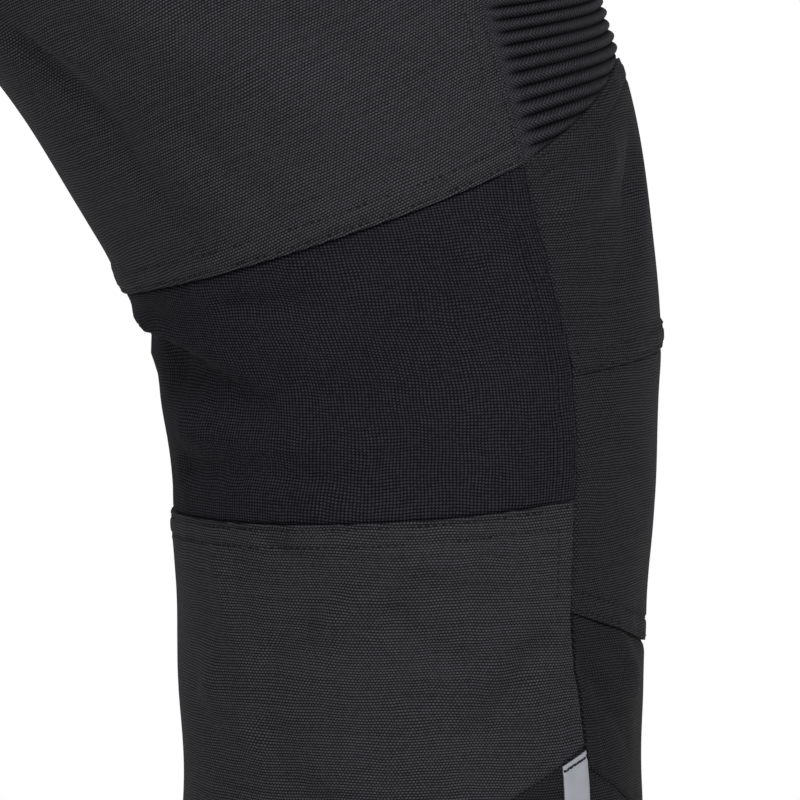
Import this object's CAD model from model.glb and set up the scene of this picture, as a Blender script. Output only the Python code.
# Motorcycle trousers, filled out with bent knees: cloth shells over the frame's solids, sewing and studio.
# Sizes are in millimetres and become metres when a mesh is made. A place on the right leg is given by
# `down`, the depth of the ring's middle below the waist, and `turn`, the way round it: 0 at the inner
# line, 0.25 at the front, 0.5 at the outer side, 0.75 at the back. The left leg is the mirrored one.
import math

import bmesh
import bpy
import numpy as np
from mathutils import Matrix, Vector


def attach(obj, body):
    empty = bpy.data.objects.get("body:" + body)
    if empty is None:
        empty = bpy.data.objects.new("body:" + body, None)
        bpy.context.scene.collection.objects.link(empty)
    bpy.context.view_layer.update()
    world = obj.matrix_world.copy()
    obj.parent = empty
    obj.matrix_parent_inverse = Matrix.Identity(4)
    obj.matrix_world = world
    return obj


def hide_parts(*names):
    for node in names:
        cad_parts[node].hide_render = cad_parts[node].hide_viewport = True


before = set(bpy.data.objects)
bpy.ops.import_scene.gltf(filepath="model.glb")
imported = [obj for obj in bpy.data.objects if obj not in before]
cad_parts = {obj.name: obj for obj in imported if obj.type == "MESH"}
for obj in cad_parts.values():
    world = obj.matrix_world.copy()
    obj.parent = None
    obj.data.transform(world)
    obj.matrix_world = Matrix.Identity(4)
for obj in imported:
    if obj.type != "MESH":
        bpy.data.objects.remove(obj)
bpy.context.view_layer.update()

MM = 0.001

# Driving sizes of the garment
FRONT_MIDDLE, BACK_MIDDLE = 0.25, 0.75
CROTCH_DOWN = 262
KNEE_DOWN = 560
HEM_DOWN = 1040
KNEE_FORWARD = 175
WAISTBAND_HEIGHT = 40
WAISTBAND_THICKNESS = 3
BAND_FACE = 0.8
CLOTH_THICKNESS = 1.8
KNIT_THICKNESS = 1.4
SEAM_GAP = 0.36
HEM_FOLD = 8
HEM_SLOPE = 1.5
HEM_RAISE = 0.75
FELL_RAISE = 0.9
KNIT_SUNK = 0.7
GIRTH = 500
SHARP_ANGLE = math.radians(48)
ROW_STEP = 1.5


def table(names, rows):
    """The columns of a table by name."""
    return {name: np.array(column, float) for name, column in zip(names.split(), zip(*rows))}


# Rings from waist to crotch
HIP_RINGS = table(
    "down lean front back width rise_front rise_back sweep",
    [
        (0, -28, -110, 110, 170, -110, 110, 0), (40, -20, -112, 114, 174, -112, 114, 0),
        (80, -6, -114, 121, 181, -114, 120, 0), (125, 14, -117, 129, 190, -115, 124, 0),
        (175, 38, -121, 129, 197, -110, 113, 0.05), (215, 58, -128, 109, 200, -90, 86, 0.3),
        (244, 70, -137, 86, 200, -48, 50, 0.75), (CROTCH_DOWN, 76, -143, 66, 199, 5, 5, 1),
    ],
)
# Rings from crotch to hem, measured from the knee
LEG_RINGS = table(
    "above lean ahead behind inmost inner width",
    [
        (265, 82, -17, 212, 161, 5, 194), (225, 86, 3, 184, 133, 13, 186),
        (180, 87, 26, 156, 93, 23, 177), (130, 84, 53.8, 121.9, 45, 33, 168),
        (96, 76, 66.7, 103.6, 20, 38.5, 163), (73, 55, 76.9, 96.5, 9.8, 42, 160),
        (56, 40, 81.8, 92.3, 5.2, 44, 158), (40, 20, 84.9, 88, 1.5, 46, 156),
        (22, 2, 86.6, 82.5, -2, 48.5, 154), (0, 0, 86.6, 79.8, -3.4, 51, 152),
        (-41, 0, 84, 75.6, -4.2, 55, 149.5), (-80, 0, 81.7, 74.2, -3.8, 58, 148),
        (-134, 0, 80.8, 72.5, -4.2, 61.5, 147.5), (-220, 0, 81, 74, -3.5, 66, 148),
        (-310, 0, 79, 72.5, -3.3, 72, 143.5), (-400, 0, 77, 71, -3, 79, 136),
        (KNEE_DOWN - HEM_DOWN, 0, 76, 70, -3, 85, 130),
    ],
)

OUTSEAM = table(
    "down turn",
    [
        (0, 0.5), (80, 0.5), (175, 0.49), (300, 0.448), (400, 0.405), (450, 0.4), (485, 0.405),
        (521, 0.4), (545, 0.39), (600, 0.385), (625, 0.384), (650, 0.374), (675, 0.366),
        (760, 0.362), (HEM_DOWN, 0.375),
    ],
)
INSEAM = table(
    "down turn",
    [
        (CROTCH_DOWN, 0), (300, 0.006), (380, 0.05), (430, 0.083), (480, 0.1), (560, 0.11),
        (670, 0.128), (760, 0.132), (HEM_DOWN, 0.125),
    ],
)

# The large folds, which the solids have too. Each runs from one place to another, is wide to either side
# and stands out by high, or is a trough where high is negative.
# Columns: down, turn, down2, turn2, wide, high
FOLDS = [
    (522, 0.775, 542, 0.56, 9, 2.6), (537, 0.775, 553, 0.55, 8, -0.8),
    (522, 0.81, 540, 0.95, 9, 2.4), (537, 0.81, 550, 0.95, 8, -0.8), (562, 0.76, 566, 0.5, 12, 0.8),
    (470, 0.66, 330, 0.6, 20, -4), (300, 0.67, 250, 0.86, 16, -6), (270, 0.72, 225, 0.9, 15, 4),
    (330, 0.75, 290, 0.95, 15, -4), (228, 0.16, 255, 0.42, 15, -6), (258, 0.13, 295, 0.38, 16, 4),
    (288, 0.12, 350, 0.27, 15, -4), (760, 0.7, 800, 0.5, 18, -4), (850, 0.55, 880, 0.86, 18, -4),
    (940, 0.6, 965, 0.9, 16, 4), (985, 0.2, 1000, 0.45, 16, -3),
]
# The finer creases, which differ from leg to leg. Their middle bows down from the straight line by bend.
# Columns: down, turn, down2, turn2, bend, wide, high
CREASES = {
    "right": [
        (528, 0.712, 548, 0.6, -1, 4.5, 2), (536.5, 0.7, 557, 0.595, -1, 2.8, -2.6),
        (547, 0.688, 560, 0.6, 0, 8.5, -4.4), (543, 0.76, 545, 0.7, 0, 5.5, 2.4),
        (531, 0.76, 532, 0.7, 0, 2.4, -1.8), (567, 0.68, 569, 0.57, 0, 5, 1.6),
        (579, 0.685, 580, 0.53, -3, 5.5, -3), (516, 0.605, 518, 0.54, 0, 5, -2.4),
        (502, 0.52, 514, 0.45, 0, 6, -1.2), (500, 0.292, 528, 0.352, 3, 5.1, -3.2),
        (497, 0.33, 514, 0.372, 0, 5.1, 1.5), (506, 0.385, 496, 0.325, 0, 3.4, 2.3),
        (513, 0.36, 502, 0.28, 0, 3.8, -2.5), (556, 0.37, 590, 0.3, 3, 5.1, -1.7),
        (632, 0.335, 652, 0.29, 0, 4.2, 1.7), (642, 0.37, 668, 0.31, 0, 4.2, -2.3),
        (402, 0.665, 436, 0.63, 0, 5.1, -4.2), (405, 0.64, 432, 0.6, 0, 5.1, 2.1),
        (440, 0.638, 482, 0.612, 2, 5.1, -2.9), (449, 0.58, 482, 0.553, 2, 5.1, -2.5),
        (405, 0.58, 478, 0.47, 8, 8.5, 2.7), (432, 0.5, 470, 0.42, 5, 6, -2.5),
        (350, 0.56, 405, 0.44, 8, 9.3, -2.5), (626, 0.556, 606, 0.5, 0, 5.1, 3.2),
        (637, 0.6, 616, 0.55, 0, 4.2, -2.7), (604, 0.5, 612, 0.42, 0, 4.2, 2.1),
        (622, 0.51, 640, 0.46, 2, 4.2, -2.5), (634, 0.41, 664, 0.46, 0, 6, -3.4),
        (610, 0.65, 655, 0.62, -3, 5.1, 2.3), (600, 0.6, 606, 0.57, 0, 3.4, -1.9),
        (650, 0.66, 690, 0.5, 5, 7.6, 2.9), (668, 0.6, 720, 0.44, 6, 7.6, -3.2),
    ],
    "left": [
        (527, 0.72, 547, 0.61, -1, 4, 2.4), (536, 0.7, 553, 0.6, -2, 2.5, -3.4),
        (549, 0.67, 556, 0.62, 0, 7.2, -3.4), (577, 0.69, 581, 0.55, -2, 4.5, -2.5),
        (504, 0.3, 521, 0.385, 2, 3.6, -1.9), (560, 0.36, 596, 0.31, 3, 5.4, -1.4),
        (415, 0.62, 480, 0.52, 8, 8.1, -2.9), (392, 0.6, 470, 0.49, 6, 9, 1.9),
        (360, 0.55, 412, 0.45, 6, 8.1, -2.2), (612, 0.58, 655, 0.47, 8, 8.1, -2),
        (621, 0.64, 600, 0.56, 0, 4.5, 2), (640, 0.44, 668, 0.49, 0, 6.3, -2.4),
    ],
    "both": [
        (118, 0.1, 150, 0.3, 8, 6.8, -2.3), (165, 0.44, 215, 0.28, 8, 8.5, -4),
        (185, 0.5, 240, 0.6, 6, 8.5, -3.4), (205, 0.95, 262, 0.72, -8, 7.6, -4.5),
        (150, 0.9, 200, 0.7, -6, 9.3, 2.9), (275, 0.4, 330, 0.2, 9, 7.6, 3.4),
        (318, 0.08, 365, 0.24, 6, 6.8, -3.2), (340, 0.32, 395, 0.16, 8, 6.8, 2.6),
        (300, 0.97, 352, 0.8, 6, 6.8, -3.4), (378, 0.93, 430, 0.8, 4, 6, -2.9),
        (455, 0.92, 488, 0.8, 4, 6, 2.3), (715, 0.52, 752, 0.75, 8, 8.5, -2.9),
        (742, 0.3, 775, 0.16, 6, 8.5, -2.3), (790, 0.86, 835, 0.6, 8, 8.5, 3.4),
        (812, 0.35, 850, 0.18, 8, 7.6, -2.6), (868, 0.4, 905, 0.62, 8, 8.5, -4),
        (905, 0.14, 938, 0.33, 7, 8.5, 2.6), (922, 0.9, 958, 0.66, 8, 8.5, -3.8),
        (960, 0.34, 990, 0.55, 6, 6.8, 2.9), (975, 0.98, 1006, 0.74, 6, 6.8, -3.2),
        (1004, 0.5, 1022, 0.3, 4, 5.1, -2.3), (541, 0.8, 555, 0.94, 2, 2.5, -2.9),
        (534, 0.79, 548, 0.92, 2, 4.2, 1.6), (568, 0.82, 577, 0.96, 2, 3.8, -1.8),
    ],
}
# Slow unevenness of the cloth: wave lengths round and down the leg, phase and height
WAVES = [
    (83, 61, 0.4, 0.22),
    (-57, 97, 1.9, 0.2),
    (41, -74, 3.1, 0.14),
    (130, 52, 5.0, 0.2),
    (-36, 43, 2.2, 0.09),
]
LEFT_PHASE = 2.1
# Folds fade out within this distance of the centre line, and by this share from start to end
FOLD_FADE = 15
CREASE_FADE = 0.6

# The stretch panel over the knee. The ribs flatten out near its sides, to a share of their height. SPREAD:
# length of the cloth over a rib, in pitches. SHADE: how the cloth darkens towards a valley, as a power.
RIB_COUNT = 20
RIB_PITCH = 3.7
RIB_HEIGHT = 2.1
RIB_SAG = {"top": 20, "bottom": -0.7}
RIB_ROWS = 10
RIB_ROUNDING = 0.95
RIB_PROUD = 0.3
RIB_FLAT_EDGE = 9
RIB_FLAT_HEIGHT = 0.7
RIB_SPREAD = 1.6
RIB_SHADE = 1.5
RIB_LOW_FADE = 2.5
RIB_STRAIGHT = (FRONT_MIDDLE, 480)
RIB_NUMBERS_FROM = 200
RIB_STEP = 3.0
RIB_NEAR_EDGE = [0, 0.5, 1.1, 1.8, 2.6, 3.4, 4.4, 5.6, 7]
FRONT_REACH = 0.154

# Cross seams: depth where they meet the outseam, depth at the middle of the front or back, and the
# share of a turn between the two
KNEE_TOP = (491, 478, FRONT_REACH)
KNEE_MIDDLE = (546, 542, 0.14)
KNEE_BOTTOM = (623.5, 639.5, 0.134)
SHIN_BOTTOM = (675, 698, 0.115)
THIGH_HEM = (491, 503, 0.346)
CALF_TOP = (587, 596, 0.361)
CALF_BOTTOM = (674, 742, 0.357)
RIBS_TOP = KNEE_TOP[0] - RIB_COUNT * RIB_PITCH
TIP_ROUNDING = 0.25

# Closure and trim. lap, right, left, turn, gap and width are in turns. The fly's side is a share of the way to
# the outseam, and its tip the least share of its width.
FLY = {
    "lap": 0.012, "side": 0.25, "tip": 0.15, "top": 41.5, "bottom": 190, "rounding": 42,
    "thick": 1.6, "lift": 0.5, "step": 3.0, "rows": (1.6, 7.4),
}
TAB = {
    "right": -0.09, "left": 0.12, "top": 5, "bottom": 35, "corner": 5.0,
    "thick": 2, "lift": 0.4, "press": 0.2, "step": 2.5, "rows": (2.0,),
}
SNAP = {"radius": 8.5, "height": 3.2, "rim": 1.1, "turn": 0.05, "down": 20, "sunk": 0.05, "sides": 48}
STRIP = {"gap": 0.0005, "width": 0.024, "top": 669.4, "slant": 4.6, "bottom": 1027, "thick": 0.7, "lift": 0.4}

# Sewing thread, and the profile of a stitch from end to end, whose height and bulk are in threads
STITCH = {"pitch": 2.6, "long": 2.0, "thick": 0.23, "skew": 0.12}
BAR_STITCH = {"pitch": 1.15, "long": 1.5, "thick": 0.46, "skew": 0.5}
STITCH_SHARE = np.array([0.0, 0.18, 0.5, 0.82, 1.0])
STITCH_RISE = np.array([-1.2, 0.1, 0.3, 0.1, -1.2])
STITCH_BULK = np.array([0.5, 1.0, 1.05, 1.0, 0.5])
STITCH_SIDES = 4
STITCH_DIP = 0.55
STITCH_DIP_WIDTH = 0.75

# Cloth threads: spacing round and down
WEAVE = (0.56, 0.92)
FLOAT_SHAPE = (0.54, 0.48)
KNIT_STITCH = (1.17, 0.98)
RIB_WEAVE = (1.6, 0.9)
RIB_LEAN = 1.3

# Handles of a quarter circle, in radii
QUARTER = 0.5523


class Curve:
    """A smooth curve through points: non-uniform cubic with three-point slopes."""

    def __init__(self, x, y):
        self.x = np.asarray(x, float)
        self.y = np.asarray(y, float)
        span = np.diff(self.x)
        chord = np.diff(self.y) / span
        inner = (chord[:-1] * span[1:] + chord[1:] * span[:-1]) / (span[:-1] + span[1:])
        self.slope = np.concatenate([chord[:1], inner, chord[-1:]])

    def __call__(self, at):
        at = np.clip(np.asarray(at, float), self.x[0], self.x[-1])
        i = np.clip(np.searchsorted(self.x, at, side="right") - 1, 0, len(self.x) - 2)
        h = self.x[i + 1] - self.x[i]
        t = (at - self.x[i]) / h
        return (
            (2 * t**3 - 3 * t**2 + 1) * self.y[i]
            + (t**3 - 2 * t**2 + t) * h * self.slope[i]
            + (3 * t**2 - 2 * t**3) * self.y[i + 1]
            + (t**3 - t**2) * h * self.slope[i + 1]
        )


def ring_curves():
    """One curve for each quantity of a ring, from waist to hem."""
    hip = dict(HIP_RINGS, inner=np.zeros(len(HIP_RINGS["down"])))
    inmost = LEG_RINGS["inmost"] - KNEE_FORWARD
    leg = {
        "down": KNEE_DOWN - LEG_RINGS["above"],
        "lean": LEG_RINGS["lean"],
        "front": -KNEE_FORWARD - LEG_RINGS["ahead"],
        "back": -KNEE_FORWARD + LEG_RINGS["behind"],
        "width": LEG_RINGS["width"],
        "inner": LEG_RINGS["inner"],
        "rise_front": inmost,
        "rise_back": inmost,
        "sweep": np.ones(len(inmost)),
    }
    rows = {name: np.concatenate([hip[name], leg[name]]) for name in leg}
    return {name: Curve(rows["down"], values) for name, values in rows.items() if name != "down"}


RING = ring_curves()
OUTSEAM_TURN = Curve(OUTSEAM["down"], OUTSEAM["turn"])
INSEAM_TURN = Curve(INSEAM["down"], INSEAM["turn"])


def quarter(start, start_slope, end, end_slope, t):
    """One coordinate of a quarter of a ring."""
    u = 1 - t
    leave = start + QUARTER * start_slope
    arrive = end - QUARTER * end_slope
    return u**3 * start + 3 * u * u * t * leave + 3 * u * t * t * arrive + t**3 * end


def surface(down, turn):
    """Points of the bare outer surface of the right leg."""
    down, turn = np.broadcast_arrays(np.asarray(down, float), np.asarray(turn, float))
    turn = np.where(down >= CROTCH_DOWN, turn % 1.0, np.clip(turn, 0, 1))
    ring = {name: curve(down) for name, curve in RING.items()}
    inner = -np.maximum(ring["inner"], 0)
    half = ring["width"] / 2
    middle = inner - half
    outer = inner - 2 * half
    front, back = ring["front"], ring["back"]
    centre = (front + back) / 2
    depth = centre - front
    sweep = ring["sweep"] * math.pi / 2
    ahead = ring["rise_front"] - front
    behind = back - ring["rise_back"]
    none = np.zeros_like(half)
    q = np.minimum((turn * 4).astype(int), 3)
    t = turn * 4 - q
    x_ends = [
        (inner, -np.cos(sweep) * half, middle, -half),
        (middle, -half, outer, none),
        (outer, none, middle, half),
        (middle, half, inner, np.cos(sweep) * half),
    ]
    y_ends = [
        (ring["rise_front"], -np.sin(sweep) * ahead, front, none),
        (front, none, centre, depth),
        (centre, depth, back, none),
        (back, none, ring["rise_back"], -np.sin(sweep) * behind),
    ]
    x = quarter(*[np.choose(q, column) for column in zip(*x_ends)], t)
    y = quarter(*[np.choose(q, column) for column in zip(*y_ends)], t)
    z = -down + ring["lean"] * (0.5 - (y - front) / (back - front))
    return np.stack([x, y, z], -1)


def normal(down, turn):
    """Outward normals of the bare surface."""
    below = down >= CROTCH_DOWN
    before = np.where(below, turn - 0.001, np.maximum(turn - 0.001, 0))
    after = np.where(below, turn + 0.001, np.minimum(turn + 0.001, 1))
    around = surface(down, after) - surface(down, before)
    along = surface(np.minimum(down + 0.5, HEM_DOWN), turn) - surface(np.maximum(down - 0.5, 0), turn)
    n = np.cross(around, along)
    return n / np.linalg.norm(n, axis=-1, keepdims=True)


def crease(down, turn, ends, bend, wide, high):
    """Height of one fold or crease: a soft ridge, or a trough where high is negative."""
    start_down, start_turn, end_down, end_turn = ends
    middle = (start_turn + end_turn) / 2
    whole = np.where(down >= CROTCH_DOWN, np.round(turn - middle), 0)
    run = np.array([(end_turn - start_turn) * GIRTH, end_down - start_down])
    dx = (turn - whole - start_turn) * GIRTH
    dy = down - start_down
    along = np.clip((dx * run[0] + dy * run[1]) / np.hypot(*run) ** 2, 0, 1)
    off_x = dx - along * run[0]
    off_y = dy - along * run[1] - bend * 4 * along * (1 - along)
    return high * np.exp(-(off_x**2 + off_y**2) / wide**2) * (1 - CREASE_FADE * along**2)


def relief_of_folds(down, turn, x, side):
    """How far folds, creases and the slow waves push the cloth out."""
    total = np.zeros_like(down)
    folds = [(*ends, 0, wide, high) for *ends, wide, high in FOLDS]
    for *ends, bend, wide, high in folds + CREASES[side] + CREASES["both"]:
        total += crease(down, turn, ends, bend, wide, high)
    shift = 0.0 if side == "right" else LEFT_PHASE
    for round_length, down_length, phase, high in WAVES:
        angle = 2 * math.pi * (turn * GIRTH / round_length + down / down_length) + phase + shift
        total += high * np.sin(angle)
    return total * smooth(np.abs(x) / FOLD_FADE)


def cloth(down, turn, out, side):
    """Points of the cloth, out beyond its own surface, on the right leg's side."""
    points = surface(down, turn)
    lift = out + relief_of_folds(down, turn, points[..., 0], side)
    return points + normal(down, turn) * lift[..., None]


def run_lengths(points, axis):
    """Distances over a grid of points along one of its axes, from its first line."""
    step = np.linalg.norm(np.diff(points, axis=axis), axis=-1)
    return np.insert(np.cumsum(step, axis), 0, 0, axis)


def between(values, i, j):
    """Values between the points of a grid, at places counted in its steps."""
    i = np.clip(i, 0, values.shape[0] - 1.001)
    j = np.clip(j, 0, values.shape[1] - 1.001)
    i0, j0 = i.astype(int), j.astype(int)
    fi, fj = i - i0, j - j0
    low = values[i0, j0] * (1 - fj) + values[i0, j0 + 1] * fj
    high = values[i0 + 1, j0] * (1 - fj) + values[i0 + 1, j0 + 1] * fj
    return low * (1 - fi) + high * fi


# Real distances round and down the leg on a grid of places, which carry the cloth's threads
GRAIN_STEP = 2.0
GRAIN_TURNS = np.linspace(-0.15, 1.3, 581)
grain_downs = np.arange(0, HEM_DOWN + GRAIN_STEP, GRAIN_STEP)
grain_points = surface(*np.meshgrid(grain_downs, GRAIN_TURNS, indexing="ij"))
GRAIN_ACROSS = run_lengths(grain_points, 1)
GRAIN_ALONG = run_lengths(grain_points, 0)


def on_grain(values, down, turn):
    return between(values, down / GRAIN_STEP, (turn - GRAIN_TURNS[0]) / (GRAIN_TURNS[1] - GRAIN_TURNS[0]))


def thread_uv(down, turn, straight_turn, straight_down):
    """Texture places in metres. The warp is straight at one turn, or along the outseam where that is None,
    and the weft at one depth.
    """
    one_turn = np.full_like(down, straight_turn) if straight_turn else outseam(down)
    one_down = np.full_like(down, straight_down)
    across = on_grain(GRAIN_ACROSS, down, turn) - on_grain(GRAIN_ACROSS, down, one_turn)
    along = on_grain(GRAIN_ALONG, down, turn) - on_grain(GRAIN_ALONG, one_down, turn)
    return np.stack([across * MM + 1, 2 - along * MM], -1)


def smooth(t):
    t = np.clip(t, 0, 1)
    return t * t * (3 - 2 * t)


def tip(t):
    """A straight run to a rounded tip in the middle."""
    return (np.hypot(t, TIP_ROUNDING) - TIP_ROUNDING) / (math.hypot(1, TIP_ROUNDING) - TIP_ROUNDING)


def bow(t):
    return t * t


def cross_seam(seam, middle_turn, form):
    edge, middle, reach = seam
    return lambda turn: middle + (edge - middle) * form(np.abs(turn - middle_turn) / reach)


def level(depth):
    return lambda turn: depth + 0 * turn


def rib_line(start, sag):
    return lambda turn: start + sag * (1 - bow((turn - FRONT_MIDDLE) / FRONT_REACH))


def outseam(down):
    return OUTSEAM_TURN(down)


def inseam(down):
    return np.where(down <= CROTCH_DOWN, 0, INSEAM_TURN(down))


def inseam_back(down):
    return 1 + inseam(down)


ribs_top = rib_line(RIBS_TOP, RIB_SAG["top"])
ribs_bottom = rib_line(KNEE_TOP[0], RIB_SAG["bottom"])
knee_top = cross_seam(KNEE_TOP, FRONT_MIDDLE, tip)
knee_middle = cross_seam(KNEE_MIDDLE, FRONT_MIDDLE, bow)
knee_bottom = cross_seam(KNEE_BOTTOM, FRONT_MIDDLE, tip)
shin_bottom = cross_seam(SHIN_BOTTOM, FRONT_MIDDLE, tip)
thigh_hem = cross_seam(THIGH_HEM, BACK_MIDDLE, tip)
calf_top = cross_seam(CALF_TOP, BACK_MIDDLE, bow)
calf_bottom = cross_seam(CALF_BOTTOM, BACK_MIDDLE, tip)


def strip_left(down):
    return outseam(down) + STRIP["gap"]


def strip_right(down):
    return outseam(down) + STRIP["width"]


def strip_top(turn):
    return STRIP["top"] + STRIP["slant"] * (turn - outseam(STRIP["top"])) / STRIP["width"]


class Patch:
    """A four-sided stretch of cloth between two side lines and two cross lines."""

    grid = 49

    def __init__(self, left, right, top, bottom):
        self.lines = (left, right, top, bottom)
        self.tl, self.bl = self.corner(left, top), self.corner(left, bottom)
        self.tr, self.br = self.corner(right, top), self.corner(right, bottom)
        share = np.linspace(0, 1, self.grid)
        points = surface(*self.place(*np.meshgrid(share, share, indexing="ij")))
        self.across, self.along = run_lengths(points, 0), run_lengths(points, 1)

    @staticmethod
    def corner(side, cross):
        """down and turn where two lines cross."""
        down = float(cross(np.array(0.5)))
        for _ in range(30):
            down = float(cross(side(np.array(down))))
        return down, float(side(np.array(down)))

    def place(self, a, b):
        """down and turn at the way across a and the way down b."""
        left, right, top, bottom = self.lines
        left_down = self.tl[0] + (self.bl[0] - self.tl[0]) * b
        right_down = self.tr[0] + (self.br[0] - self.tr[0]) * b
        top_down, top_turn = [self.tl[k] + (self.tr[k] - self.tl[k]) * a for k in (0, 1)]
        low_down, low_turn = [self.bl[k] + (self.br[k] - self.bl[k]) * a for k in (0, 1)]
        turn = left(left_down) * (1 - a) + right(right_down) * a
        down = left_down * (1 - a) + right_down * a
        down = down + (top(top_turn) - top_down) * (1 - b) + (bottom(low_turn) - low_down) * b
        return down, turn

    def on(self, values, a, b):
        return between(values, a * (self.grid - 1), b * (self.grid - 1))

    def distances(self, a, b):
        """Real distances to the left, right, top and bottom edges."""
        one = np.ones_like(a)
        across, along = self.on(self.across, a, b), self.on(self.along, a, b)
        width, length = self.on(self.across, one, b), self.on(self.along, a, one)
        return {"left": across, "right": width - across, "top": along, "bottom": length - along}

    def size(self):
        middle = self.grid // 2
        return self.across[-1, middle], self.along[middle, -1]


def marks(length, step, near):
    """Shares of a length: the given distances from each end, and even steps between."""
    near = np.array([d for d in near if d < length * 0.4])
    inside = np.linspace(near[-1], length - near[-1], max(2, round((length - 2 * near[-1]) / step)) + 1)
    return np.concatenate([near, inside[1:-1], length - near[::-1]]) / length


NEAR_EDGE = [0, 0.25, 0.55, 1.0, 1.5, 2.1, 3.0, 4.3, 5.6, 6.5, 7.2, 7.9, 8.8, 9.8, 11.2, 13]
STEP = 2.9
WIDE_STEP = 3.5
COARSE_STEP = 4.2


def edge(band, groove, *rows, wide=0.8, tuck=(0, 1)):
    return {"band": band, "groove": groove, "rows": rows, "wide": wide, "tuck": tuck}


# How each kind of edge is made: how far its band stands out, how deep its groove is, where its rows of stitches
# run, how wide the groove is, and how deep and how far in the cloth sinks under its neighbour.
EDGES = {
    "plain": edge(0.0, 0.75),
    "deep": edge(0.2, 1.8, wide=0.55),
    "soft": edge(0.0, 0.35),
    "sewn": edge(0.0, 0.75, 1.5),
    "felled": edge(FELL_RAISE, 0.5, 1.4, 7.0),
    "hem": edge(HEM_RAISE, 0.35, 1.6, 7.4),
    "low_hem": edge(0.35, 0.2, 1.6, 7.4),
    "flush": edge(0.1, 0.6, 1.6, 7.4),
    "faced": edge(0.0, 0.1, 7.4),
    "tucked": edge(0.0, 0.6, tuck=(0.8, 2.4)),
    "open": edge(HEM_RAISE, 0.2, 7.0),
    "trim": edge(0.0, 0.3),
    "tacked": edge(0.0, 0.3, 1.9),
}
# How much the cloth puckers along its edges, and where
PUCKER = {"sewn": 0.15, "plain": 0.07, "at": 4, "reach": 5}


def dip(distance, at, reach):
    """1 along a line at some distance, down to 0 at about twice the reach from it."""
    return np.exp(-(((distance - at) / reach) ** 2))


def wobble(run):
    """An uneven ripple along a seam."""
    return np.sin(run / 1.6 + 1.4 * np.sin(run / 9.7)) + 0.7 * np.sin(run / 3.1 + 2)


def edge_relief(patch, a, b, edges):
    """Bands, grooves, stitch dips and puckers along the edges of a panel."""
    distances = patch.distances(a, b)
    width, length = patch.size()
    band, dips = np.zeros_like(a), np.zeros_like(a)
    for where, kind in edges.items():
        form, d = EDGES[kind], distances[where]
        band = np.maximum(band, form["band"] * (1 - smooth((d - HEM_FOLD) / HEM_SLOPE)))
        dips = dips - form["groove"] * dip(d, 0, form["wide"])
        deep, reach = form["tuck"]
        dips = dips - deep * dip(d, 0, reach)
        run = b * length if where in ("left", "right") else a * width
        pucker = PUCKER["sewn"] if form["rows"] else PUCKER["plain"]
        dips = dips + pucker * wobble(run) * dip(d, PUCKER["at"], PUCKER["reach"])
        for row in form["rows"]:
            dips = dips - STITCH_DIP * dip(d, row, STITCH_DIP_WIDTH)
    return band + dips


def cut_piece(slot, lines, edges, straight, **more):
    """A piece of a leg. lines: left, right, top, bottom. edges: how those are made. straight: where the threads
    run straight, as turn and depth. sunk: how far it lies under the leg's surface. finish: its material, where
    that isn't the slot's. step: the mesh's spacing away from the edges.
    """
    kinds = dict(zip(("left", "right", "top", "bottom"), edges.split()))
    plain = {"sunk": 0.0, "thick": CLOTH_THICKNESS, "finish": slot, "step": STEP}
    return {**plain, "slot": slot, "lines": lines, "edges": kinds, "straight": straight, **more}


FRONT = (inseam, outseam)
BACK = (outseam, inseam_back)
TOP = level(WAISTBAND_HEIGHT)
HEM = level(HEM_DOWN)
CUFF = {"step": COARSE_STEP, "sunk": 0.4, "finish": "dark_cloth"}
CHARCOAL, BLACK = "charcoal_cloth", "black_cloth"
TAPE = {"sunk": -STRIP["lift"] - STRIP["thick"] + 0.5, "thick": STRIP["thick"]}
TAPE_LINES = (strip_left, strip_right, strip_top, level(STRIP["bottom"]))
PIECES = {
    "thigh_front": cut_piece(
        CHARCOAL, (*FRONT, TOP, ribs_top), "sewn plain plain sewn", (0.25, 330), step=COARSE_STEP
    ),
    "thigh_back": cut_piece(
        CHARCOAL, (*BACK, TOP, thigh_hem), "felled felled plain hem", (0.55, 400), step=WIDE_STEP
    ),
    "knee_upper": cut_piece(BLACK, (*FRONT, knee_top, knee_middle), "plain plain flush felled", (0.25, 560)),
    "knee_lower": cut_piece(BLACK, (*FRONT, knee_middle, knee_bottom), "plain plain soft faced", (0.25, 560)),
    "knee_back": cut_piece(
        "stretch_knit",
        (*BACK, thigh_hem, calf_top),
        "felled felled plain plain",
        (None, 580),
        sunk=KNIT_SUNK,
        thick=KNIT_THICKNESS,
    ),
    "shin_front": cut_piece(
        BLACK,
        (*FRONT, knee_bottom, shin_bottom),
        "deep deep tucked plain",
        (0.25, 640),
        sunk=0.1,
        finish="dark_cloth",
    ),
    "calf_back": cut_piece(CHARCOAL, (*BACK, calf_top, calf_bottom), "deep deep low_hem plain", (0.5, 640)),
    "cuff_front": cut_piece(BLACK, (*FRONT, shin_bottom, HEM), "plain plain sewn open", (0.25, 760), **CUFF),
    "cuff_back": cut_piece(BLACK, (*BACK, calf_bottom, HEM), "plain plain plain open", (0.5, 760), **CUFF),
    "reflective_strip": cut_piece(
        "reflective_tape", TAPE_LINES, "trim trim tacked tacked", (0.37, 700), **TAPE
    ),
}


# Meshes


def new_object(name, data):
    obj = bpy.data.objects.new(name, data)
    bpy.context.scene.collection.objects.link(obj)
    return obj


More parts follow.
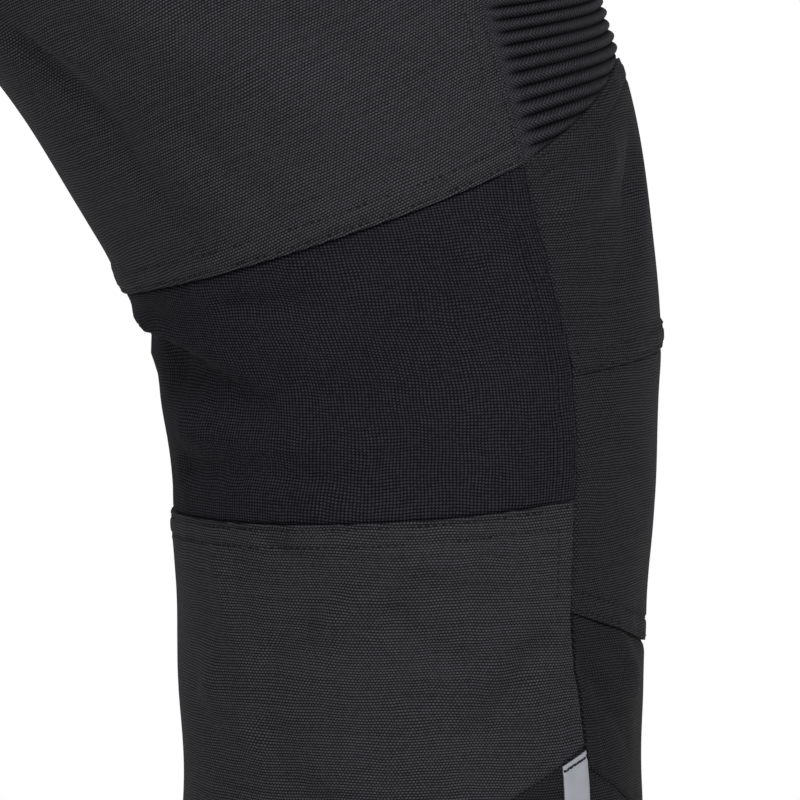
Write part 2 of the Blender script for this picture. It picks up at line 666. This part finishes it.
def make_object(name, points, faces, uv, material, mirrored):
    """An object from points in millimetres, faces and a texture place for each point.

    A third value in a texture place says how open the cloth lies there, from 0 in a valley to 1.
    """
    points = np.asarray(points, float).reshape(-1, 3) * MM
    if mirrored:
        points = points * (-1, 1, 1)
        faces = [face[::-1] for face in faces]
    mesh = bpy.data.meshes.new(name)
    mesh.from_pydata(points.tolist(), [], faces)
    layer = mesh.uv_layers.new(name="threads")
    corners = np.empty(len(mesh.loops), int)
    mesh.loops.foreach_get("vertex_index", corners)
    values = np.asarray(uv, float).reshape(len(points), -1)
    layer.data.foreach_set("uv", values[corners, :2].ravel())
    if values.shape[1] > 2:
        mesh.attributes.new("open", "FLOAT", "POINT").data.foreach_set("value", values[:, 2])
    mesh.shade_smooth()
    mesh.set_sharp_from_angle(angle=SHARP_ANGLE)
    mesh.materials.append(material)
    return new_object(name, mesh)


def shell_faces(outer, inner):
    """Faces of a closed shell from two grids of point numbers. Repeated numbers close up a face."""

    def face(*corners):
        seen = [c for k, c in enumerate(corners) if c != corners[k - 1]]
        return tuple(seen) if len(set(seen)) > 2 else None

    rows, columns = outer.shape
    faces = []
    for i in range(rows - 1):
        for j in range(columns - 1):
            faces.append(face(outer[i, j], outer[i + 1, j], outer[i + 1, j + 1], outer[i, j + 1]))
            faces.append(face(inner[i, j], inner[i, j + 1], inner[i + 1, j + 1], inner[i + 1, j]))
    border = [(0, j) for j in range(columns)]
    border += [(i, columns - 1) for i in range(1, rows)]
    border += [(rows - 1, j) for j in range(columns - 2, -1, -1)]
    border += [(i, 0) for i in range(rows - 2, 0, -1)]
    for here, there in zip(border, border[1:] + border[:1]):
        faces.append(face(outer[here], outer[there], inner[there], inner[here]))
    return [f for f in faces if f]


def shell(name, outer, inner, uv, material, mirrored, keep=None):
    """A closed shell between two grids of points, whose first index runs down and second round.

    keep: the last row of each column, where the columns differ in length.
    """
    rows, columns = outer.shape[:2]
    ids = np.arange(rows * columns).reshape(rows, columns)
    if keep is not None:
        ids = ids[np.minimum(np.arange(rows)[:, None], keep[None, :]), np.arange(columns)[None, :]]
    faces = shell_faces(ids, ids + rows * columns)
    points = np.concatenate([outer.reshape(-1, 3), inner.reshape(-1, 3)])
    uv = np.concatenate([uv.reshape(rows * columns, -1)] * 2)
    used = np.unique(np.concatenate([np.array(f) for f in faces]))
    renumber = np.full(len(points), -1)
    renumber[used] = np.arange(len(used))
    faces = [tuple(int(renumber[v]) for v in f) for f in faces]
    return make_object(name, points[used], faces, uv[used], material, mirrored)


class Panel:
    """One cut piece of a leg, with its patch, its edges and its side of the body."""

    def __init__(self, name, side):
        self.name, self.side, self.piece = name, side, PIECES[name]
        self.patch = Patch(*self.piece["lines"])

    def outer(self, a, b):
        relief = edge_relief(self.patch, a, b, self.piece["edges"])
        return cloth(*self.patch.place(a, b), relief - self.piece["sunk"], self.side)

    def build(self, material):
        width, length = self.patch.size()
        step = self.piece["step"]
        b, a = np.meshgrid(marks(length, step, NEAR_EDGE), marks(width, step, NEAR_EDGE), indexing="ij")
        down, turn = self.patch.place(a, b)
        depth = np.full_like(a, -self.piece["sunk"] - self.piece["thick"])
        inner = cloth(down, turn, depth, self.side)
        uv = thread_uv(down, turn, *self.piece["straight"])
        name = f"{self.side}_{self.name}_cloth"
        return shell(name, self.outer(a, b), inner, uv, material, self.side == "left")

    def row(self, where, distance, start, end):
        """Points and normals along a line at a distance from one edge, for stitches."""
        upright, far = where in ("left", "right"), where in ("right", "bottom")
        across, along = self.patch.size() if upright else self.patch.size()[::-1]
        t = np.linspace(start, end, max(8, int(along / ROW_STEP)))
        s = np.full_like(t, distance / across)
        s = 1 - s if far else s
        for _ in range(4):
            a, b = (s, t) if upright else (t, s)
            off = self.patch.distances(a, b)[where] - distance
            s = s + (off if far else -off) / across
        a, b = (s, t) if upright else (t, s)
        return self.outer(a, b), normal(*self.patch.place(a, b))


def stretch_panel(side, material):
    """The ribbed panel: rounded ribs over a plain inside, ending at the knee panel's top edge."""
    patch = Patch(inseam, outseam, ribs_top, ribs_bottom)
    width, _ = patch.size()
    rows = RIB_COUNT * RIB_ROWS
    across = marks(width, RIB_STEP, RIB_NEAR_EDGE)
    b, a = np.meshgrid(np.linspace(0, 1, rows + 1), across, indexing="ij")
    down, turn = patch.place(a, b)
    limit = knee_top(turn)
    keep = np.argmax(np.concatenate([down >= limit, np.ones((1, len(across)), bool)]), axis=0)
    keep = np.minimum(keep, rows)
    clipped = np.minimum(down, limit)
    phase = b * RIB_COUNT
    number = np.floor(np.minimum(phase, RIB_COUNT - 1e-6))
    uneven = 0.12 * np.sin(number * 2.4 + turn * 31) + 0.08 * np.sin(number * 5.1 + turn * 57)
    across_rib = np.abs(2 * (phase - number) - 1)
    roll = (1 - across_rib**2) ** RIB_ROUNDING
    distance = patch.distances(a, b)
    from_side = np.minimum(distance["left"], distance["right"])
    fade = smooth(from_side / RIB_FLAT_EDGE)
    low_end = smooth((limit - down) / RIB_LOW_FADE + 0.2)
    ground = RIB_HEIGHT * RIB_FLAT_HEIGHT * (1 - fade)
    height = RIB_HEIGHT * (1 + uneven) * roll * fade * low_end + ground
    seam = -0.5 * dip(from_side, 0, 0.8)
    outer = cloth(clipped, turn, height - RIB_HEIGHT + RIB_PROUD + seam, side)
    inner = cloth(clipped, turn, np.full_like(a, -RIB_HEIGHT - KNIT_THICKNESS), side)
    uv = thread_uv(clipped, turn, *RIB_STRAIGHT)
    uv[..., 1] = (RIB_NUMBERS_FROM + phase) * RIB_PITCH * RIB_SPREAD * MM
    uv = np.concatenate([uv, (1 - fade * across_rib**RIB_SHADE)[..., None]], -1)
    return shell(f"{side}_knee_stretch_cloth", outer, inner, uv, material, side == "left", keep)


def tube(rings, sides):
    """Faces of a tube from its rings of points."""
    steps = [(i * sides + j, i * sides + (j + 1) % sides) for i in range(rings - 1) for j in range(sides)]
    return [(here, there, there + sides, here + sides) for here, there in steps]


def stitches(name, lines, material, mirrored, size=STITCH):
    """Threads along lines of points and normals: each stitch comes up, runs and dives again."""
    rings, sides = len(STITCH_SHARE), STITCH_SIDES
    angles = np.arange(sides) * 2 * math.pi / sides
    ends = [tuple(reversed(range(sides))), tuple(range((rings - 1) * sides, rings * sides))]
    one_stitch = tube(rings, sides) + ends
    all_points, all_faces, count = [], [], 0
    for points, normals in lines:
        run = run_lengths(points, 0)
        number = int((run[-1] - 1) // size["pitch"])
        order = np.arange(number)
        starts = (run[-1] - number * size["pitch"]) / 2 + order * size["pitch"]
        starts = starts + 0.12 * np.sin(order * 1.7)
        at = starts[:, None] + STITCH_SHARE[None, :] * size["long"]
        centre, up = [
            np.stack([np.interp(at, run, values[:, k]) for k in range(3)], -1) for values in (points, normals)
        ]
        up = up / np.linalg.norm(up, axis=-1, keepdims=True)
        beside = np.cross(up, np.gradient(centre, axis=1))
        beside = beside / np.linalg.norm(beside, axis=-1, keepdims=True)
        skew = size["skew"] * np.sin(order * 2.9)[:, None, None] * (STITCH_SHARE - 0.5)[None, :, None]
        centre = centre + up * (STITCH_RISE * size["thick"])[None, :, None] + beside * skew
        spread = np.cos(angles)[None, None, :, None] * up[:, :, None, :]
        spread = spread + np.sin(angles)[None, None, :, None] * beside[:, :, None, :]
        tubes = centre[:, :, None, :] + spread * (STITCH_BULK * size["thick"])[None, :, None, None]
        all_points.append(tubes.reshape(-1, 3))
        for base in range(count, count + number * rings * sides, rings * sides):
            all_faces += [tuple(base + v for v in face) for face in one_stitch]
        count += number * rings * sides
    points = np.concatenate(all_points)
    return make_object(name, points, all_faces, np.zeros((len(points), 2)), material, mirrored)


# The waist: a place across the centre front has a negative offset on the right, positive on the left.


def both_legs(down, turn, out):
    """Points of the cloth on the right leg's side and on the left leg's."""
    return cloth(down, turn, out, "right"), cloth(down, turn, out, "left") * (-1, 1, 1)


def across_front(down, offset, out):
    right, left = both_legs(down, np.abs(offset), out)
    points = np.where(offset[..., None] > 0, left, right)
    points[..., 0] = np.where(offset == 0, 0, points[..., 0])
    return points


def to_outline(points, outline):
    """Distance of each point to a closed outline, both flat."""
    run = np.roll(outline, -1, 0) - outline
    off = points[..., None, :] - outline
    t = np.clip((off * run).sum(-1) / np.maximum((run**2).sum(-1), 1e-9), 0, 1)
    return np.linalg.norm(off - t[..., None] * run, axis=-1).min(-1)


def overlay(name, depths, ends, under, form, material):
    """A flat piece over the centre front, between two ends at each depth, with rows of stitches."""
    start, end = ends(depths)
    share = marks((end - start).max() * GIRTH, form["step"], [0, 0.3, 0.8, 1.4, 2.2, 3.2])
    down = np.repeat(depths[:, None], len(share), 1)
    offset = start[:, None] + (end - start)[:, None] * share[None, :]
    flat = np.stack([offset * GIRTH, down], -1)
    outline = np.concatenate([flat[:, 0], flat[-1, 1:], flat[::-1, -1], flat[0, -2:0:-1]])
    inside = to_outline(flat, outline)
    relief = -0.5 * dip(inside, 0, 0.7)
    for row in form["rows"]:
        relief = relief - STITCH_DIP * dip(inside, row, 0.7)
    order = slice(None, None, -1)
    outer = across_front(down, offset, under + form["thick"] + relief)[:, order]
    inner = across_front(down, offset, np.full_like(down, under))[:, order]
    uv = (flat * MM + (1, 0)) * (1, -1) + (0, 2)
    return shell(name, outer, inner, uv[:, order], material, False)


def fly_ends(down):
    straight = FLY["bottom"] - FLY["rounding"]
    round_share = np.clip((down - straight) / FLY["rounding"], 0, 1)
    width = outseam(down) * FLY["side"] * np.maximum(np.sqrt(1 - round_share**2), FLY["tip"])
    return np.full_like(down, -FLY["lap"]), width


def fly_flap(material):
    straight = FLY["bottom"] - FLY["rounding"]
    rounding = np.sin(np.linspace(0.06, 1, 22) * math.pi / 2) * FLY["rounding"]
    depths = np.concatenate([np.linspace(FLY["top"], straight, 34), straight + rounding])
    return overlay("fly_flap_cloth", depths, fly_ends, FLY["lift"], FLY, material)


def tab_ends(down):
    corner = TAB["corner"]
    from_corner = np.minimum(down - TAB["top"], TAB["bottom"] - down)
    cut = corner - np.sqrt(np.maximum(corner**2 - (corner - np.minimum(from_corner, corner)) ** 2, 0))
    return TAB["right"] + cut / GIRTH, np.full_like(down, TAB["left"])


def waist_tab(material):
    height = TAB["bottom"] - TAB["top"]
    depths = TAB["top"] + height * marks(height, TAB["step"], [0, 0.3, 0.8, 1.4, 2.0, 2.8, 4, 5.4])
    under = BAND_FACE + TAB["lift"] - TAB["press"]
    return overlay("waist_tab_cloth", depths, tab_ends, under, TAB, material)


WAIST_HALF = 480.0
BAND_END = WAISTBAND_HEIGHT - SEAM_GAP
BAND_DEPTHS = [0, 0.3, 0.8, 1.5, 2.2, 3, 5, 9, 14, 19, 24, 30, 34, 36.2, 37.2, 38, 38.8, 39.3, BAND_END]
BAND_ROW = 2.2


def waistband(material):
    turns = np.linspace(0, 1, round(WAIST_HALF / 4) + 1)
    down, turn = np.meshgrid(np.array(BAND_DEPTHS), turns, indexing="ij")
    inside = np.minimum(down, BAND_END - down)
    run = turn * WAIST_HALF
    relief = -0.6 * dip(inside, 0, 0.8) - STITCH_DIP * dip(inside, BAND_ROW, 0.8)
    relief = relief + 0.22 * np.sin(run / 3.9 + 1.3 * np.sin(run / 17)) * dip(inside, 5, 5)
    grids = []
    for out in (BAND_FACE + relief, np.full_like(down, BAND_FACE - WAISTBAND_THICKNESS)):
        right, left = both_legs(down, turn, out)
        right[:, -1, 0] = 0
        grids.append(np.concatenate([right, left[:, -2::-1]], 1))
    along = run_lengths(grids[0][len(BAND_DEPTHS) // 2], 0)
    uv = np.stack([np.broadcast_to(along, grids[0].shape[:2]), np.repeat(down[:, :1], len(along), 1)], -1)
    uv = uv * MM * (1, -1) + (1, 2)
    return shell("waistband_cloth", grids[0], grids[1], uv, material, False)


def waistband_rows():
    turns = np.linspace(0.004, 1, 330)
    lines = []
    for depth in (BAND_ROW, BAND_END - BAND_ROW):
        down = np.full_like(turns, depth)
        face = np.full_like(turns, BAND_FACE - 0.2)
        for points, flip in zip(both_legs(down, turns, face), (1, -1)):
            lines.append((points, normal(down, turns) * (flip, 1, 1)))
    return lines


def stud(material):
    """The press stud's cap: a rounded rim round a dished middle with a low boss."""
    r, h, rim, sides = SNAP["radius"], SNAP["height"], SNAP["rim"], SNAP["sides"]
    profile = [
        (0, 0),
        (r - 0.5, 0),
        (r, 0.5),
        (r + 0.05, 1.3),
        (r - 0.35, h - 0.9),
        (r - rim, h - 0.35),
        (r - 1.7 * rim, h - 0.55),
        (r - 2.3 * rim, h - 1.15),
        (r - 3.0 * rim, h - 1.2),
        (r - 3.8 * rim, h - 0.75),
        (r - 5.2 * rim, h - 0.15),
        (1.2, h),
        (0, h),
    ]
    angle = np.arange(sides) * 2 * math.pi / sides
    points = np.array([[(x * math.cos(a), x * math.sin(a), y) for a in angle] for x, y in profile])
    down, offset = np.array([float(SNAP["down"])]), np.array([SNAP["turn"]])
    face = BAND_FACE + TAB["lift"] + TAB["thick"] - SNAP["sunk"]
    seat, above = [across_front(down, offset, np.full_like(down, out)) for out in (face, face + 1)]
    up = above[0] - seat[0]
    up = up / np.linalg.norm(up)
    beside = np.cross(up, (0, 0, 1))
    beside = beside / np.linalg.norm(beside)
    placed = points @ np.stack([beside, np.cross(up, beside), up]) + seat[0]
    faces = tube(len(profile), sides)
    piece = make_object("press_stud_cap", placed, faces, np.zeros((placed.size // 3, 2)), material, False)
    mesh = bmesh.new()
    mesh.from_mesh(piece.data)
    bmesh.ops.remove_doubles(mesh, verts=mesh.verts, dist=1e-6)
    bmesh.ops.recalc_face_normals(mesh, faces=mesh.faces)
    mesh.to_mesh(piece.data)
    mesh.free()
    return piece


# Materials


class Value:
    """A value in a material's graph, to reckon with like a number."""

    def __init__(self, graph, socket):
        self.graph, self.socket = graph, socket

    def __add__(self, other):
        return self.graph.math("ADD", self, other)

    __radd__ = __add__

    def __sub__(self, other):
        return self.graph.math("SUBTRACT", self, other)

    def __mul__(self, other):
        return self.graph.math("MULTIPLY", self, other)

    def __truediv__(self, other):
        return self.graph.math("DIVIDE", self, other)

    def __pow__(self, other):
        return self.graph.math("POWER", self, other)

    def __abs__(self):
        return self.graph.math("ABSOLUTE", self)

    def floor(self):
        return self.graph.math("FLOOR", self)

    def within(self, other):
        """The product, kept between 0 and 1."""
        return self.graph.math("MULTIPLY", self, other, clamp=True)


class Graph:
    """Short calls that add nodes to a material."""

    def __init__(self, name):
        self.material = bpy.data.materials.new(name)
        self.material.use_nodes = True
        self.tree = self.material.node_tree
        self.shader = self.tree.nodes["Principled BSDF"]

    def link(self, value, socket):
        if isinstance(value, Value):
            self.tree.links.new(value.socket, socket)
        else:
            socket.default_value = value

    def node(self, kind, inputs=(), output=0, **settings):
        """One output of a new node."""
        made = self.tree.nodes.new(kind)
        for name, value in settings.items():
            setattr(made, name, value)
        for name, value in dict(inputs).items():
            self.link(value, made.inputs[name])
        return Value(self, made.outputs[output])

    def math(self, operation, *values, clamp=False):
        return self.node("ShaderNodeMath", enumerate(values), operation=operation, use_clamp=clamp)

    def noise(self, vector, scale, detail=2.0, roughness=0.5):
        inputs = {"Vector": vector, "Scale": scale, "Detail": detail, "Roughness": roughness}
        return self.node("ShaderNodeTexNoise", inputs, "Fac")

    def pair(self, x, y):
        return self.node("ShaderNodeCombineXYZ", {0: x, 1: y})

    def threads(self):
        """Texture places along and across the threads, and the same as one vector."""
        uv = self.node("ShaderNodeUVMap", uv_map="threads")
        u, v = [self.node("ShaderNodeSeparateXYZ", {0: uv}, axis) for axis in (0, 1)]
        return u, v, uv

    def object_place(self):
        return self.node("ShaderNodeTexCoord", output="Object")

    def colour(self, share, dark, light):
        mixed = self.node("ShaderNodeMix", {0: share, 6: dark, 7: light}, 2, data_type="RGBA")
        self.link(mixed, self.shader.inputs["Base Color"])

    def bump(self, height, distance, strength):
        """A relief with its depth in millimetres."""
        inputs = {"Strength": strength, "Distance": distance * MM, "Height": height}
        self.link(self.node("ShaderNodeBump", inputs), self.shader.inputs["Normal"])

    def finish(self, roughness, specular, sheen=0.0, metallic=0.0):
        values = {"Roughness": roughness, "Specular IOR Level": specular, "Metallic": metallic}
        values |= {"Sheen Weight": sheen, "Sheen Roughness": 0.4}
        for name, value in values.items():
            self.shader.inputs[name].default_value = value
        return self.material


def gray(level, blue=0.0, green=0.0):
    """A colour from its brightness in a picture, 0 to 255, a little bluer or greener where told."""

    def linear(v):
        v = v / 255
        return v / 12.92 if v <= 0.04045 else ((v + 0.055) / 1.055) ** 2.4

    return (linear(level), linear(level + green), linear(level + blue), 1)


def drifting(g, u, v, wander):
    """The same places with the threads wandering a little, by millimetres."""
    uv = g.pair(u, v)
    return [at + (g.noise(uv, scale) - 0.5) * (wander * MM) for at, scale in ((u, 26.0), (v, 31.0))]


def cells(u, v, size):
    """Which thread crossing a place lies in, and how far from its middle, round and down."""
    across, along = u / (size[0] * MM), v / (size[1] * MM)
    number, row = across.floor(), along.floor()
    return number, row, across - number - 0.5, along - row - 0.5


def dome(g, fu, fv, wide, tall):
    """1 in the middle of a crossing, down to 0 at an ellipse's rim."""
    return g.math("SUBTRACT", 1.0, abs(fu / wide) ** 2.0 + abs(fv / tall) ** 2.0, clamp=True)


def thread_shade(g, number, row, amount):
    """A brightness that differs from thread to thread."""
    vector = {"Vector": g.pair(number, row)}
    return g.node("ShaderNodeTexWhiteNoise", vector, "Value", noise_dimensions="2D") * amount + (1 - amount / 2)


def cloudy(g, uv, scale, least):
    """Slow, soft patches of shade."""
    return g.noise(uv, scale, 3.0) * 0.5 + least


def cloth_of(g, share, height, tones, relief):
    """The colour and relief of a cloth. tones: brightness of its valleys and threads, and how blue both are."""
    dark, light, blue = tones
    g.colour(share, gray(dark, blue), gray(light, blue))
    g.bump(height, relief, 0.7)


def woven(name, *tones):
    """Coarse plain weave: each row of light floats is half a float off the next."""
    g = Graph(name)
    u, v, uv = g.threads()
    u, v = drifting(g, u, v, 4.5)
    offset = g.math("MODULO", (v / (WEAVE[1] * MM)).floor(), 2.0) * (WEAVE[0] * MM)
    number, row, fu, fv = cells(u + offset, v, (2 * WEAVE[0], WEAVE[1]))
    height = dome(g, fu, fv, *FLOAT_SHAPE)
    shade = height * thread_shade(g, number, row, 0.4) * thread_shade(g, 3.5, row, 0.25)
    cloth_of(g, shade.within(cloudy(g, uv, 18.0, 0.95)), height, tones, 0.16)
    return g.finish(roughness=0.8, specular=0.15, sheen=0.03)


def ribbed(name, *tones):
    """The stretch panel's weave, whose floats lean away from the crest of each rib."""
    g = Graph(name)
    u, v, _ = g.threads()
    pitch = RIB_PITCH * RIB_SPREAD * MM
    from_crest = abs(g.math("FRACT", v / pitch) - 0.5) * pitch
    number, row, fu, fv = cells(u + from_crest * RIB_LEAN, v, RIB_WEAVE)
    height = dome(g, fu, fv, 0.5, 0.85)
    lit = g.node("ShaderNodeAttribute", output="Fac", attribute_name="open")
    shade = height.within(thread_shade(g, number, row, 0.4)) + 0.06
    cloth_of(g, shade.within(lit), height, tones, 0.16)
    return g.finish(roughness=0.8, specular=0.14, sheen=0.03)


def knitted(name, *tones):
    """Fine knit: columns of small loops in a square grid."""
    g = Graph(name)
    u, v, uv = g.threads()
    u, v = drifting(g, u, v, 6.0)
    number, row, fu, fv = cells(u, v, KNIT_STITCH)
    course = dome(g, 0.0, fv, 1.0, 0.43)
    wale = dome(g, fu + fv * 0.3, 0.0, 0.43, 1.0)
    height = (course + 0.08) * (wale + 0.08)
    shade = height.within(thread_shade(g, number, row, 0.5))
    cloth_of(g, shade.within(cloudy(g, uv, 25.0, 0.75)), height, tones, 0.2)
    return g.finish(roughness=0.85, specular=0.12, sheen=0.02)


def tape(name):
    """Silver-grey reflective tape with a fine grain and faint handling marks."""
    g = Graph(name)
    uv = g.threads()[2]
    share = g.noise(uv, 2600.0) * 0.35 + g.noise(uv, 70.0, 4.0, 0.6) * 0.65
    g.colour(share, gray(156, 12, 4), gray(200, 12, 4))
    g.bump(share, 0.3, 0.5)
    return g.finish(roughness=0.42, specular=0.5, metallic=0.25)


def thread_material(name, level_of_gray):
    """Twisted sewing thread."""
    g = Graph(name)
    twist = g.noise(g.object_place(), 3500.0, 1.0)
    g.colour(twist, gray(level_of_gray - 8, 1), gray(level_of_gray + 10, 1))
    g.bump(twist, 0.05, 0.5)
    return g.finish(roughness=0.6, specular=0.3)


def stud_material(name):
    """Dark plated metal, a little worn."""
    g = Graph(name)
    wear = g.noise(g.object_place(), 420.0, 4.0, 0.6)
    g.colour(wear, gray(58, 1), gray(84, 1))
    g.link(wear * 0.2 + 0.28, g.shader.inputs["Roughness"])
    return g.finish(roughness=0.35, specular=0.5, metallic=1.0)


MATERIALS = {
    CHARCOAL: woven("charcoal_weave", 1, 71, 4),
    BLACK: woven("black_weave", 1, 57, 4),
    "dark_cloth": woven("dark_weave", 0, 48, 3),
    "ribbed_cloth": ribbed("ribbed_weave", 0, 62, 5),
    "stretch_knit": knitted("blue_black_knit", 0, 54, 6),
    "reflective_tape": tape("silver_tape"),
    "stud_metal": stud_material("dark_metal"),
}
THREAD = thread_material("black_thread", 16)


# Pieces on the body

# The cuts, as far as they show: greatest width and length, area, how each is held, and by or on what.
CUTS = {
    "thigh_front": (0.349, 0.504, 0.1006, "hung", "waistband"),
    "thigh_back": (0.391, 0.634, 0.1738, "hung", "waistband"),
    "knee_stretch": (0.19, 0.118, 0.0165, "stretched", "thigh_front"),
    "knee_upper": (0.163, 0.097, 0.0129, "hung", "knee_stretch"),
    "knee_lower": (0.139, 0.098, 0.0117, "hung", "knee_upper"),
    "knee_back": (0.352, 0.108, 0.0292, "stretched", "thigh_back"),
    "shin_front": (0.128, 0.059, 0.0063, "hung", "knee_lower"),
    "calf_back": (0.393, 0.147, 0.0423, "hung", "knee_back"),
    "cuff_front": (0.122, 0.368, 0.0375, "hung", "shin_front"),
    "cuff_back": (0.394, 0.373, 0.1167, "hung", "calf_back"),
    "reflective_strip": (0.0117, 0.358, 0.0038, "laid", "cuff_back"),
    "waistband": (0.968, 0.0396, None, "hung", "thigh_back"),
    "fly_flap": (0.068, 0.149, 0.0085, "laid", "thigh_front"),
    "waist_tab": (0.1, 0.03, None, "laid", "waistband"),
}


def place(piece, node, side=""):
    """Rides a piece on the only body, in the node's place, and declares its cut if it is a sheet."""
    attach(piece, "root")
    if node:
        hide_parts(f"{side}_{node}" if side else node)
    if node in CUTS:
        width, length, area, held, on = CUTS[node]
        on = on if on == "waistband" else f"{side or 'left'}_{on}"


# Rows of stitches: piece, edge, and each row's distance from it and the stretch of it that is sewn. The knee
# flap's lower edge and the calf's sides have rows without dips, and so aren't in EDGES.
SEAM_ROWS = [
    ("thigh_back", "bottom", (1.6, 0, 1), (7.4, 0, 1)),
    ("thigh_back", "left", (1.4, 0, 1), (7.0, 0, 0.985)),
    ("thigh_back", "right", (1.4, 0, 1), (7.0, 0, 0.985)),
    ("thigh_front", "left", (1.5, 0.45, 1)),
    ("thigh_front", "bottom", (1.5, 0, 1)),
    ("knee_back", "left", (1.4, 0.01, 0.99), (7.0, 0.01, 0.99)),
    ("knee_back", "right", (1.4, 0.01, 0.99), (7.0, 0.01, 0.99)),
    ("calf_back", "top", (1.6, 0, 1), (7.4, 0.02, 0.98)),
    ("knee_upper", "top", (1.6, 0, 1), (7.4, 0.02, 0.98)),
    ("knee_upper", "bottom", (1.4, 0, 1), (7.0, 0, 1)),
    ("knee_lower", "bottom", (1.6, 0, 1), (7.4, 0.02, 0.98)),
    ("cuff_front", "top", (1.5, 0, 1)),
    ("cuff_front", "bottom", (7.0, 0, 1)),
    ("cuff_back", "bottom", (7.0, 0, 1)),
    ("calf_back", "left", (1.4, 0.02, 0.38), (7.0, 0.09, 0.38)),
    ("calf_back", "right", (1.4, 0.02, 0.38), (7.0, 0.09, 0.38)),
]
# The strip's top and bottom are sewn with a thick close row.
STRIP_ROWS = [("reflective_strip", "top", (1.9, 0, 1)), ("reflective_strip", "bottom", (1.9, 0, 1))]


def build_leg(side):
    panels = {name: Panel(name, side) for name in PIECES}
    for name, panel in panels.items():
        place(panel.build(MATERIALS[panel.piece["finish"]]), name, side)
    place(stretch_panel(side, MATERIALS["ribbed_cloth"]), "knee_stretch", side)
    for what, edges, size in (("leg", SEAM_ROWS, STITCH), ("strip", STRIP_ROWS, BAR_STITCH)):
        lines = [panels[name].row(where, *row) for name, where, *rows in edges for row in rows]
        place(stitches(f"{side}_{what}_stitches", lines, THREAD, side == "left", size), None)


def build_waist():
    place(waistband(MATERIALS[CHARCOAL]), "waistband")
    place(fly_flap(MATERIALS[CHARCOAL]), "fly_flap")
    place(waist_tab(MATERIALS[CHARCOAL]), "waist_tab")
    place(stud(MATERIALS["stud_metal"]), "press_stud")
    place(stitches("waist_stitches", waistband_rows(), THREAD, False), None)


build_leg("right")
build_leg("left")
build_waist()


# Studio: camera at the photo's angle, pale floor, even soft light. Sizes here are in metres.

KNEE_POINT = np.array([-127.0, -KNEE_FORWARD, -KNEE_DOWN]) * MM
CAMERA_DISTANCE = 2.6
CAMERA_ELEVATION = math.radians(6.0)
PICTURE_PIXELS = 800
PIXELS_PER_MM = 3.0
SENSOR_MM = 36.0
FAR_LIMIT = 50
FLOOR_X, FLOOR_Y = (-3, 1.9), (-3, 3)
FLOOR_DOWN = (HEM_DOWN + 1) * MM
FLOOR_SHADE = 0.82
# Brightness of the white all round, for the camera and for the light that falls on things
SKY_SEEN, SKY_LIGHT = 1.0, 0.23
# Place, size and watts
LIGHTS = {
    "key": ((-2.2, -0.85, 1.25), 1.4, 48),
    "fill": ((-1.6, 1.6, 1.1), 1.2, 7),
    "far_side": ((2.1, 0.2, 1.2), 1.4, 30),
}


def look_at(obj, target):
    direction = Vector(np.asarray(target) - np.array(obj.location))
    obj.rotation_euler = direction.to_track_quat("-Z", "Y").to_euler()


def add_camera():
    camera = new_object("camera", bpy.data.cameras.new("camera"))
    back = np.array([-math.cos(CAMERA_ELEVATION), 0, math.sin(CAMERA_ELEVATION)])
    camera.location = KNEE_POINT + back * CAMERA_DISTANCE
    look_at(camera, KNEE_POINT)
    shown = PICTURE_PIXELS / PIXELS_PER_MM * MM
    camera.data.sensor_width = SENSOR_MM
    camera.data.lens = SENSOR_MM * CAMERA_DISTANCE / shown
    camera.data.clip_end = FAR_LIMIT
    bpy.context.scene.camera = camera


def add_light(name, location, size, watts):
    light = bpy.data.lights.new(name, "AREA")
    light.energy = watts
    light.size = size
    obj = new_object(name, light)
    obj.location = location
    look_at(obj, KNEE_POINT)


def add_floor():
    mesh = bpy.data.meshes.new("floor")
    order = ((0, 0), (1, 0), (1, 1), (0, 1))
    corners = [(FLOOR_X[i], FLOOR_Y[j], -FLOOR_DOWN) for i, j in order]
    mesh.from_pydata(corners, [], [(0, 1, 2, 3)])
    g = Graph("pale_floor")
    g.shader.inputs["Base Color"].default_value = (FLOOR_SHADE, FLOOR_SHADE, FLOOR_SHADE, 1)
    mesh.materials.append(g.finish(roughness=0.9, specular=0.1))
    new_object("floor", mesh)


def add_world():
    """White all round for the camera, and softer for the light that falls on things."""
    world = bpy.data.worlds.new("studio")
    world.use_nodes = True
    nodes, links = world.node_tree.nodes, world.node_tree.links
    path = nodes.new("ShaderNodeLightPath")
    mix = nodes.new("ShaderNodeMixShader")
    links.new(path.outputs["Is Camera Ray"], mix.inputs[0])
    light, seen = nodes.new("ShaderNodeBackground"), nodes["Background"]
    for sky, strength, socket in ((light, SKY_LIGHT, mix.inputs[1]), (seen, SKY_SEEN, mix.inputs[2])):
        sky.inputs["Color"].default_value = (1, 1, 1, 1)
        sky.inputs["Strength"].default_value = strength
        links.new(sky.outputs[0], socket)
    links.new(mix.outputs[0], nodes["World Output"].inputs["Surface"])
    bpy.context.scene.world = world


add_camera()
add_floor()
add_world()
for light_name, (light_place, light_size, light_watts) in LIGHTS.items():
    add_light(light_name, light_place, light_size, light_watts)
bpy.context.scene.view_settings.view_transform = "Standard"
